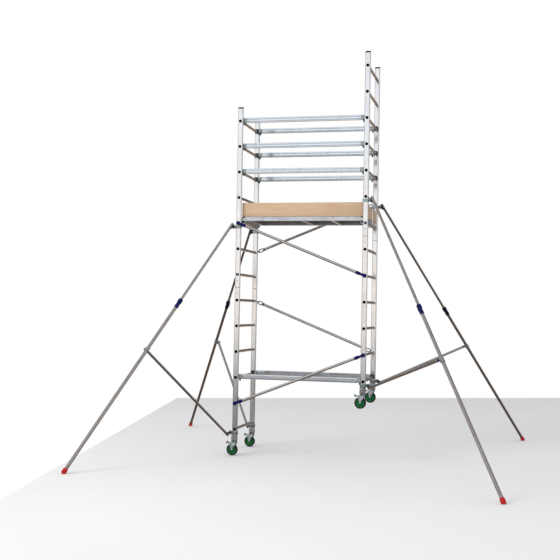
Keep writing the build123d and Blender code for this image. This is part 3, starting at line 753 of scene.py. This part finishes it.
def build_braces():
    tubes, blue = Piece("brace_tubes_drawn"), Piece("moulded_brace_claws")
    cast_claws = Piece("ring_brace_claws")
    shapes = {-1: front_claw(), 1: back_claw()}
    for sy, low, high in BRACES:
        left, right = (("fl", "fr") if sy < 0 else ("bl", "br"))
        ends = [Vector((STILE_AT[k].x, STILE_AT[k].y + sy * (FACE + BRACE_OUT) * MM, rung_z(s, n)))
                for k, s, n in ((left, -1, low), (right, 1, high))]
        d = (ends[1] - ends[0]).normalized()
        start = ends[0] + d * TUBE_START[sy] * MM
        length = (ends[1] - ends[0]).length / MM - 2 * TUBE_START[sy]
        tubes.add(tube(length, BRACE_R, 2), place(start, d), TUBE_ALLOY)
        for end, way in zip(ends, (d, -d)):
            face = end - Vector((0, sy * BRACE_OUT * MM, 0))
            target, material = (blue, BLUE) if sy < 0 else (cast_claws, RING_CAST)
            target.add(shapes[sy].copy(), place(face, (0, sy, 0), way), material)
    tubes.done("tower", "brace_alloy", "brace_tubes")
    blue.done("tower", "blue_plastic", "front_brace_claws", sharp=60)
    cast_claws.done("tower", "cast_alloy", "back_brace_claws", sharp=60)


# ---------------------------------------------------------------- toe boards
TOE_BOARD_T = 24


def build_toe_boards():
    low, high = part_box("toe_boards")
    thick = TOE_BOARD_T * MM
    front = [(low.x, high.x, low.y, low.y + thick), (low.x, high.x, high.y - thick, high.y)]
    ends = [(*xs, low.y + thick, high.y - thick) for xs in ((low.x, low.x + thick), (high.x - thick, high.x))]
    names = ("toe_board_front", "toe_board_back", "toe_board_low_end", "toe_board_high_end")
    for i, (name, (x0, x1, y0, y1)) in enumerate(zip(names, front + ends)):
        board = block(*(v / MM for v in (x0, x1, y0, y1, low.z, high.z)), 2.2)
        piece = Piece(name).add(board, Matrix.Scale(MM, 4), TOE_LONG if i < 2 else TOE_CROSS)
        piece.done("tower", "toe_timber", *(["toe_boards"] if i == 0 else []))


# ---------------------------------------------------------------- outriggers
PIN_OUT = 53                    # hinge line from the stile's centre
BAND_T = 6                      # wall of the band about the stile
CLAMP_DROP = 40
LEG_LENGTH, OVERLAP = 2090, 600
UPPER_R, LOWER_R, STRUT_R, STRUT_SIDE = 14, 17, 14, 31
# side of the leg its strut is on, and how far up the leg from the foot the coupler sits
STRUTS = {"fl": (-1, 1495), "bl": (-1, 1495), "fr": (-1, 1495), "br": (1, 1555)}
# Painted light: each corner's upper bands take their own lit copy of the zinc.
BANDS = {"fl": BAND_GREEN, "bl": BAND_PALE, "fr": BAND_PALE, "br": BAND_PALE}
HEAD_OUT, HEAD_UP = 38, 12
TOP_RUNG = {-1: 8, 1: 7}


def build_stile_clamps():
    piece = Piece("stile_clamp_bands")
    w, d, r = STILE
    inner = rounded(rect(-w / 2, w / 2, -d / 2, d / 2), r, 7)
    w, d = w + 2 * BAND_T, d + 2 * BAND_T
    outer = rounded(rect(-w / 2, w / 2, -d / 2, d / 2), r + BAND_T, 7)
    for key, sx, sy, at in every_stile():
        for n in (TOP_RUNG[sx], 0):
            # Painted shade: the low bands take the darker zinc, and the back left knuckle takes the darker blue
            # plastic.
            zinc = BANDS[key] if n else BAND_SHADED_ZINC
            knuckle = SHADED_BLUE if n and key == "bl" else zinc
            z = rung_z(sx, n) - CLAMP_DROP * MM
            spot = place((at.x, at.y, z), (0, 0, 1), (sx, 0, 0))
            piece.add(slab(outer, -17, 17, 1.5, hole=inner), spot, zinc)
            tip = PIN_OUT + 14
            ear = rounded([(26, -13), (PIN_OUT, -14), (tip, -8), (tip, 8), (PIN_OUT, 14), (26, 13)],
                          [2, 8, 9, 9, 8, 2])
            for lo, hi in ((8, 17), (-17, -8)):
                piece.add(slab(ear, lo, hi, 1.3), spot, knuckle)
            rib = slab(rounded(rect(28, 44, -5, 5), 2), -9, 9, 0.8)
            piece.add(rib, spot, knuckle)
            pin = lathe([(0, -22), (5, -22), (6, -21), (6, 17), (9, 17), (9, 21), (7.5, 23), (0, 23)], 28)
            piece.add(moved(pin, PIN_OUT), spot, DARK_STEEL)
            for lo, hi in ((4.5, 11.5), (-11.5, -4.5)):
                edge = rounded(rect(-22, 22, lo, hi), 2.5)
                bead = moved(slab(edge, d / 2 - 1, d / 2 + 0.9, 0.5), axis="X", angle=-90 * sy)
                piece.add(bead, level((at.x, at.y, z)), zinc)
            piece.add(moved(hex_head(6, 3.6), z=BAND_T), outer_face(at, sy, z), ZINC)
    piece.done("tower", "zinc_steel", "stile_clamps")


def leg_clamp():
    """Moulded telescope clamp about the lower tube's top, Z down the leg and the bolt towards -Y."""
    upper = lathe([(0, -68), (18, -68), (21.5, -65), (24, -57), (25, -44), (24.6, -28), (22.5, -16),
                   (19.6, -6), (19, 0), (20.5, 8), (21.5, 20), (21.5, 32), (20.6, 42), (18.5, 47.5),
                   (0, 48)], 48)
    flats = [block(-9, 9, s * 20 - 4, s * 20 + 4, -58, -22, 3) for s in (-1, 1)]
    ribs = [lathe([(21, z - 2.2), (23.2, z), (21, z + 2.2), (18, z)], 40, ring=True) for z in (16, 25, 34)]
    boss = moved(lathe([(0, 14), (9, 14), (9, 26), (7.5, 28.5), (0, 28.5)], 24), axis="X", angle=90)
    ears = [block(s * 6 - 2.5, s * 6 + 2.5, -27, -10, -14, 12, 2) for s in (-1, 1)]
    return moulded([upper, *flats, *ribs, boss, *ears], 1.1, 4)


def knob():
    """A six-lobed hand knob, its stem on -Z."""
    lobes = [((10.4 + 1.5 * cos(6 * a)) * cos(a), (10.4 + 1.5 * cos(6 * a)) * sin(a))
             for a in [2 * pi * i / 72 for i in range(72)]]
    return merged(slab(lobes, 2, 15, 2.4), lathe(rect(0, 7, 0, 3), 24),
                  lathe([(0, 14), (5, 14), (4.4, 15.6), (0, 15.8)], 24))


def hinge_eye():
    return lathe([(6.1, -7.7), (13, -7.7), (14, -6.7), (14, 6.7), (13, 7.7), (6.1, 7.7)], 32, ring=True)


def foot_cap(matrix):
    """A ribbed rubber boot on the end of the leg, cut level with the floor. Z runs up the leg."""
    ball = [(24 * sin(a), 20 - 24 * cos(a)) for a in [pi / 2 * k / 9 for k in range(9, 0, -1)]]
    boot = lathe([(17.2, 58), (20, 58), (21.8, 56), (22.2, 51), (23.7, 47), (24, 42), *ball, (0, -4), (0, 18),
                  (17.2, 18)], 48)
    for v in boot.verts:
        v.co = matrix @ v.co
    cut = bmesh.ops.bisect_plane(boot, geom=boot.verts[:] + boot.edges[:] + boot.faces[:], dist=1e-7,
                                 plane_co=(0, 0, 0), plane_no=(0, 0, -1), clear_outer=True)
    rim = [e for e in cut["geom_cut"] if isinstance(e, bmesh.types.BMEdge)]
    bmesh.ops.holes_fill(boot, edges=rim, sides=0)
    boot.transform(matrix.inverted())
    return boot


def build_outrigger(key, sx, clamp_shape):
    hinge = joint_at("outrigger_swing_" + key)
    foot = Vector(MOUNTS["foot_" + key]["pos_m"])
    up = Vector(JOINTS["leg_slide_" + key]["axis"]).normalized()
    reach = Vector((foot.x - hinge.x, foot.y - hinge.y, 0)).normalized()
    side = Vector((0, 0, 1)).cross(reach)
    top_z = rung_z(sx, TOP_RUNG[sx]) - CLAMP_DROP * MM
    low_z = rung_z(sx, 0) - CLAMP_DROP * MM
    hinge_top, hinge_low = Vector((hinge.x, hinge.y, top_z)), Vector((hinge.x, hinge.y, low_z))
    head = hinge_top + reach * HEAD_OUT * MM + Vector((0, 0, HEAD_UP * MM))
    way, coupler_at = STRUTS[key]
    beside = side * way
    clamp_at, coupler = foot + up * LEG_LENGTH * MM, foot + up * coupler_at * MM
    strut_low = hinge_low + (reach * 26 + beside * 10 - Vector((0, 0, 24))) * MM
    strut_top = coupler + beside * STRUT_SIDE * MM
    strut_way = (strut_top - strut_low).normalized()
    body, leg = "outrigger_" + key, "leg_" + key

    tubes = Piece("outrigger_tube_set_" + key)
    length = (head - clamp_at).length / MM + 25 + OVERLAP
    tubes.add(tube(length, UPPER_R, 2), place(head + up * 25 * MM, -up), LEG_ALLOY_SHADED)
    strut_length = (strut_top - strut_low).length / MM
    strut_start = strut_low + strut_way * 12 * MM
    tubes.add(tube(strut_length - 26, STRUT_R, 2), place(strut_start, strut_way), LEG_ALLOY_SHADED)
    tubes.done(body, "outrigger_alloy", "outrigger_tubes_" + key)

    fit = Piece("outrigger_knuckles_" + key)
    at_top, at_low = place(hinge_top, -side, reach), place(hinge_low, -side, reach)
    plate = rounded([(8, -7.5), (18, -7.5), (44, -26), (62, -24), (34, 26), (18, 24), (12, 7.5), (8, 7.5)],
                    [0, 6, 8, 6, 8, 6, 5, 0])
    for side_y in (-1, 1):
        lo, hi = sided(side_y, 9, 15)
        cheek = rounded([(12, -7.5), (20, -7.5), (44, -24), (60, -22), (36, 24), (18, 20)],
                        [3, 6, 8, 6, 8, 5])
        fit.add(slab(cheek, lo, hi, 1.2), at_top, DARK_STEEL)
        fit.add(moved(dome(5, 2.2), 38, 2, side_y * 14.5, "X", 0 if side_y > 0 else 180), at_top, ZINC)
    fit.add(slab(plate, -5, 5, 1.2), at_top, DARK_STEEL)
    fit.add(hinge_eye(), place(hinge_top, (0, 0, 1)), DARK_STEEL)
    plug = lathe([(0, 0), (14.2, 0), (14.2, 3), (12.5, 5.5), (8, 6.6), (0, 7)], 32)
    fit.add(plug, place(head + up * 24 * MM, up), BLACK)
    fit.add(hinge_eye(), place(hinge_low, (0, 0, 1)), DARK_STEEL)
    fit.add(block(8, 34, -6, 6, -9.5, 9.5, 2), at_low, DARK_STEEL)
    drop = Matrix.Translation(beside * 10 * MM) @ at_low
    fit.add(block(18, 34, -30, 6, -9, 9, 2), drop, DARK_STEEL)
    cup = lathe([(0, -13), (8, -11), (12, -5), (14.2, 1), (15.4, 8), (15.4, 20), (14.4, 22), (0, 22)], 32)
    fit.add(cup, place(strut_low, strut_way), DARK_STEEL)
    collar = lathe([(17.1, -22), (21.6, -22), (23, -20.5), (23, -13), (21.4, -11), (21.4, 11), (23, 13),
                    (23, 20.5), (21.6, 22), (17.1, 22)], 44, ring=True)
    fit.add(collar, place(coupler, up, side), CAST_ALLOY)
    arm = lathe([(0, 17), (12.4, 17), (13, 22), (13, 37), (12, 38), (0, 38)], 32)
    fit.add(arm, place(coupler, beside), CAST_ALLOY)
    socket = lathe([(0, -34), (14.6, -34), (15.4, -32), (15.4, -12), (14, -2), (0, 2)], 32)
    fit.add(socket, place(strut_top, strut_way), CAST_ALLOY)
    fit.add(moved(hex_head(5, 3), y=-21.5, axis="X", angle=90), place(coupler, up, side), ZINC)
    fit.done(body, "zinc_steel", "outrigger_fittings_" + key)

    hand = Piece("coupler_knob_" + key)
    hand.add(knob(), place(strut_top + beside * 7 * MM, beside), BLUE)
    hand.done(body, "blue_plastic", "outrigger_knob_" + key)

    lower = Piece("leg_tube_drawn_" + key)
    lower.add(tube(LEG_LENGTH - 18, LOWER_R, 2), place(clamp_at, -up), LEG_ALLOY_SHADED)
    lower.done(leg, "outrigger_alloy", "leg_tube_" + key)
    clamp = Piece("telescope_clamp_" + key)
    # Painted shade: the back clamps take the darker copy of the blue plastic.
    clamp_blue = BLUE if key in ("fl", "fr") else SHADED_BLUE
    clamp.add(clamp_shape.copy(), place(clamp_at, -up, up.cross(side)), clamp_blue)
    bolt_at = clamp_at - side * 27 * MM
    clamp.add(moved(hex_head(5, 1.6), z=0.4), place(bolt_at, -side), DARK_STEEL)
    clamp.done(leg, "blue_plastic", "leg_clamp_" + key, sharp=60)
    cap = Piece("rubber_foot_" + key)
    spot = place(foot, up)
    cap.add(foot_cap(spot), spot, RED)
    cap.done(leg, "red_rubber", "leg_foot_" + key)


# ---------------------------------------------------------------- casters
WHEEL_R, TRAIL = 62.5, 27
PIVOT = (-38, 133.5)            # the pedal's pin
SOCKET_X = -3                   # the socket stands a little inside the stile's centre


def build_sockets():
    piece = Piece("cast_caster_sockets")
    for key, sx, sy, at in every_stile():
        body = lathe([(12.1, 145), (28, 145), (30.5, 147), (32.6, 155), (34.4, 167), (35, 182), (34.6, 196),
                      (33, 210), (31.5, 216), (31.5, 219), (33, 221), (33, 226), (31.6, 228), (0, 228),
                      (0, 190), (12.1, 190)], 56)
        spot = level(at)
        piece.add(moved(body, SOCKET_X), spot, CAST_ALLOY)
        for z in (167, 197):
            for way in (-1, 1):
                head = moved(hex_head(6.5, 3.4), y=way * 34.6, axis="X", angle=-90 * way)
                piece.add(moved(head, SOCKET_X, 0, z), spot, DARK_STEEL)
        for way in (-1, 1):
            fin = block(SOCKET_X - 2, SOCKET_X + 2, way * 30 - 3.5, way * 30 + 3.5, 150, 214, 1.2)
            piece.add(fin, spot, CAST_ALLOY)
    piece.done("tower", "zinc_steel", "caster_sockets")


def cheek_outline():
    """One side plate of the fork, seen from the side."""
    return rounded([(-49, 141), (16, 141), (23, 134), (15, 120), (-13, 74), (-13, 58), (-20, 51), (-34, 51),
                    (-40, 58), (-40, 74), (-49, 112)], [6, 5, 6, 30, 10, 7, 7, 7, 7, 20, 10])


def build_caster(key, at):
    spot = level(at)
    fork = Piece("pressed_fork_" + key)
    for way in (-1, 1):
        lo, hi = sided(way, 19, 22)
        fork.add(upright(slab(cheek_outline(), lo, hi, 0.9)), spot, ZINC)
        crease = rounded([(-38, 128), (0, 128), (-20, 84), (-32, 84)], [6, 8, 6, 6])
        inner = [(x * 0.80 - 4.5, 21 + v * 0.80) for x, v in crease]
        lo, hi = sided(way, 21.6, 22.9)
        fork.add(upright(slab(crease, lo, hi, 0.5, hole=inner)), spot, ZINC)
        axle = moved(hex_head(9, 5), y=way * 22.6, axis="X", angle=-90 * way)
        fork.add(moved(axle, -TRAIL, 0, WHEEL_R), spot, ZINC)
    # Painted shade: a dark steel web along the fork's leading edge, standing in for the shade between the socket
    # and the wheel.
    shade_web = rounded([(24, 134), (16, 120), (-11, 76), (-15, 79), (11, 121), (18, 136)], [3, 8, 1, 1, 8, 3])
    for way in (-1, 1):
        lo, hi = sided(way, 21, 27)
        fork.add(upright(slab(shade_web, lo, hi, 0.8)), spot, DARK_STEEL)
    crown = slab(rounded(rect(-49, 23, -22, 22), [6, 16, 16, 6]), 138, 142, 1.2)
    fork.add(crown, spot, ZINC)
    race = lathe([(0, 141), (27, 141), (31, 141.6), (31, 143.2), (28, 144.4), (0, 144.4)], 48)
    fork.add(race, spot, ZINC)
    fork.add(lathe([(0, 140), (12, 140), (12, 186), (10, 187), (0, 187)], 28), spot, DARK_STEEL)
    pins = ((6, 22, 24, (-TRAIL, WHEEL_R), DARK_STEEL), (3, 23.5, 20, PIVOT, ZINC))
    for r, half, sides, (x, z), metal in pins:
        pin = along_y(lathe(rect(0, r, -half, half), sides))
        fork.add(moved(pin, x, 0, z), spot, metal)
    fork.done("caster_" + key, "zinc_steel", "caster_fork_" + key)

    axle = place(at + Vector((-TRAIL, 0, WHEEL_R)) * MM, (0, 1, 0), (1, 0, 0))
    hub = Piece("wheel_centre_" + key)
    half = [(6.06, 18.4), (13.4, 18.4), (14.6, 17.2), (16.4, 8), (26, 6), (28.5, 7.5), (30.5, 11.4),
            (32.5, 12.4), (38.5, 12.4), (41, 13.2), (43, 14.6), (45, 14.6)]
    hub.add(lathe(half + [(r, -y) for r, y in reversed(half)], 64, ring=True), axle, GREEN)
    for k in range(10):
        for way in (-1, 1):
            lo, hi = sided(way, 5, 10.2)
            rib = block(15.5, 30.5, -1.1, 1.1, lo, hi, 0.4)
            hub.add(moved(rib, axis="Z", angle=36 * k), axle, GREEN)
    for way in (-1, 1):
        seal = [(6.3, 17.4), (12.6, 17.4), (12.2, 18.5), (11, 18.5), (10.2, 17.9), (6.3, 17.9)]
        seal = lathe(seal, 32, ring=True)
        hub.add(moved(seal, axis="X", angle=0 if way > 0 else 180), axle, DARK_STEEL)
    hub.done("wheel_" + key, "wheel_plastic", "caster_hub_" + key)

    tyre = Piece("wheel_tyre_" + key)
    half = [(45, 14.6), (47, 16.6), (51, 17), (56.5, 16.4), (59.5, 13.8), (61.4, 10.6), (62.1, 8),
            (61.3, 7.4), (61.3, 6.2), (62.4, 5.6), (62.5, 1.4), (61.6, 0.9)]
    tyre.add(lathe(half + [(r, -y) for r, y in reversed(half)], 72, ring=True), axle, TYRE)
    tyre.done("wheel_" + key, "tyre_rubber", "caster_tyre_" + key)

    px, pz = PIVOT
    pedal = Piece("brake_lever_" + key)
    tip = [(-62, 136), (-80, 142), (-84, 151), (-91, 151), (-92, 127.2), (-88, 125.2), (-60, 128)]
    arm = rounded([(px + 3.5, pz + 2.5), (px - 8, pz + 3), *tip, (px - 6, pz - 5.5)],
                  [2, 3, 8, 7, 3, 3, 3, 3, 5, 3])
    pedal.add(upright(slab(arm, -17.5, 17.5, 1.2)), spot, ZINC)
    lip = rounded([(-55, 134), *tip, (-55, 129)], [2, 8, 7, 3, 3, 3, 3, 3, 2])
    pedal.add(upright(slab(lip, -25, 25, 2.0)), spot, ZINC)
    sleeve = lathe(rect(3.05, 5, -18, 18), 24, ring=True)
    pedal.add(moved(along_y(sleeve), px, 0, pz), spot, ZINC)
    for k in range(4):
        bar = block(-79 + 5.5 * k, -76.5 + 5.5 * k, -19, 19, 137, 142.2 - 2 * k, 0.7)
        pedal.add(bar, spot, ZINC)
    shoe = rounded([(-46, 125.2), (-58, 126.2), (-60, 129), (-46, 129)], 1.2)
    pedal.add(upright(slab(shoe, -13, 13, 0.8)), spot, TYRE)
    pedal.done("pedal_" + key, "zinc_steel", "caster_pedal_" + key)


for build in (build_rungs, build_plugs, build_stile_caps, build_section_joints, build_beams, build_beam_claws,
              build_braces, build_toe_boards, build_stile_clamps, build_sockets):
    build()
CLAMP = leg_clamp()
for key, sx, sy, at in every_stile():
    build_outrigger(key, sx, CLAMP)
    build_caster(key, at)


# ---------------------------------------------------------------- studio
def build_floor():
    """A pale board floor that ends behind the tower and to its left, as in the photograph."""
    corners = [(-3.69, 5.76), (22.5, 17.9), (26, -22), (1.4, -21.5)]
    mesh = bpy.data.meshes.new("studio_floor")
    mesh.from_pydata([(x, y, -0.0005) for x, y in corners], [], [(3, 2, 1, 0)])
    floor = bpy.data.objects.new("studio_floor", mesh)
    bpy.context.scene.collection.objects.link(floor)
    s = Shader("floor_paint")
    split = s.add("ShaderNodeSeparateXYZ")
    s.link(s.coords, split.inputs[0])
    # Painted shade: the floor darkens with distance from the camera.
    distance_shade = s.span(split.outputs[1], -4.0, 7.0)
    tone = s.mix(distance_shade, (0.88, 0.88, 0.88), (0.72, 0.72, 0.725))
    tone = s.mix(s.span(s.noise(0.6, 3), 0.3, 0.7, 0, 0.4), tone, (0.80, 0.80, 0.80))
    floor.data.materials.append(s.done(tone, 0.9))
    floor.visible_glossy = False


def build_world():
    """Plain white to the eye and on matt surfaces. Reflections see a studio: behind the camera it
    is bright at eye level, dimmer overhead and grey to brown underfoot. Ahead it is dim, over a
    brown floor, and it fades to both sides."""
    world = bpy.data.worlds.new("studio")
    bpy.context.scene.world = world
    world.use_nodes = True
    world.cycles.sampling_method = "NONE"
    w = Nodes(world.node_tree)
    split = w.add("ShaderNodeSeparateXYZ")
    w.link(w.add("ShaderNodeTexCoord").outputs["Generated"], split.inputs[0])
    height = w.span(split.outputs[2], -1.0, 1.0)
    behind = [(0.0, (0.10, 0.08, 0.07)), (0.36, (0.11, 0.098, 0.09)), (0.445, (0.15, 0.165, 0.185)),
              (0.466, (0.20, 0.22, 0.24)), (0.480, (0.78, 0.75, 0.725)), (0.52, (0.83, 0.79, 0.76)),
              (0.60, (0.76, 0.805, 0.865)), (0.72, (0.52, 0.535, 0.56)), (1.0, (0.30, 0.31, 0.32))]
    ahead = [(0.0, (0.20, 0.16, 0.13)), (0.36, (0.50, 0.40, 0.33)), (0.41, (0.58, 0.47, 0.39)),
             (0.455, (0.25, 0.22, 0.20)), (0.48, (0.09, 0.087, 0.087)), (0.58, (0.10, 0.10, 0.10)),
             (1.0, (0.22, 0.22, 0.23))]
    sides = []
    for stops in (behind, ahead):
        node = w.add("ShaderNodeValToRGB")
        ramp = node.color_ramp
        while len(ramp.elements) < len(stops):
            ramp.elements.new(0.5)
        for element, (position, color) in zip(ramp.elements, stops):
            element.position = position
            element.color = (*color, 1)
        w.link(height, node.inputs[0])
        sides.append(node.outputs[0])
    fades = ((0, (-0.1, 0.7, 1.42, 0.95)), (0, (-0.95, -0.4, 0.62, 1.0)), (1, (0.25, 0.75, 0.0, 1.0)))
    right, left, front = (w.span(split.outputs[axis], *limits, interpolation_type="SMOOTHSTEP")
                          for axis, limits in fades)
    seen, reflected, ambient = (w.add("ShaderNodeBackground") for _ in range(3))
    w.link((1.0, 1.0, 1.0, 1), seen.inputs["Color"])
    w.link(w.mix(front, *sides), reflected.inputs["Color"])
    w.link(w.math("MULTIPLY", right, left), reflected.inputs["Strength"])
    w.link((0.85, 0.85, 0.86, 1), ambient.inputs["Color"])
    surface = ambient.outputs[0]
    path = w.add("ShaderNodeLightPath")
    for ray, chosen in (("Is Glossy Ray", reflected), ("Is Camera Ray", seen)):
        switch = w.add("ShaderNodeMixShader")
        for i, source in enumerate((path.outputs[ray], surface, chosen.outputs[0])):
            w.link(source, switch.inputs[i])
        surface = switch.outputs[0]
    w.link(surface, w.tree.nodes["World Output"].inputs["Surface"])


def build_light(name, position, target, size, power):
    data = bpy.data.lights.new(name, "AREA")
    data.shape, data.size, data.energy = "DISK", size, power
    light = bpy.data.objects.new(name, data)
    light.location = position
    light.rotation_euler = (Vector(target) - Vector(position)).to_track_quat("-Z", "Y").to_euler()
    light.visible_glossy = False
    bpy.context.scene.collection.objects.link(light)


def build_camera():
    """The photograph's view: its place, and its heading, tilt and roll in degrees."""
    place_m, heading, tilt, roll, lens = (2.1187, -10.7252, 1.6127), 13.621, 1.588, 1.032, 63.79
    data = bpy.data.cameras.new("view")
    data.sensor_width, data.lens, data.clip_end = 36, lens, 200
    camera = bpy.data.objects.new("view", data)
    a, p, r = radians(heading), radians(tilt), radians(roll)
    forward = Vector((-sin(a) * cos(p), cos(a) * cos(p), sin(p)))
    right = Vector((cos(a), sin(a), 0))
    up = right.cross(forward)
    x, y = right * cos(r) + up * sin(r), up * cos(r) - right * sin(r)
    camera.matrix_world = Matrix.Translation(place_m) @ Matrix((x, y, -forward)).transposed().to_4x4()
    bpy.context.scene.collection.objects.link(camera)
    bpy.context.scene.camera = camera


build_floor()
build_world()
build_light("key", (-6, -7, 9), (0, 0, 1.5), 5, 420)
build_camera()
bpy.context.scene.view_settings.view_transform = "Standard"
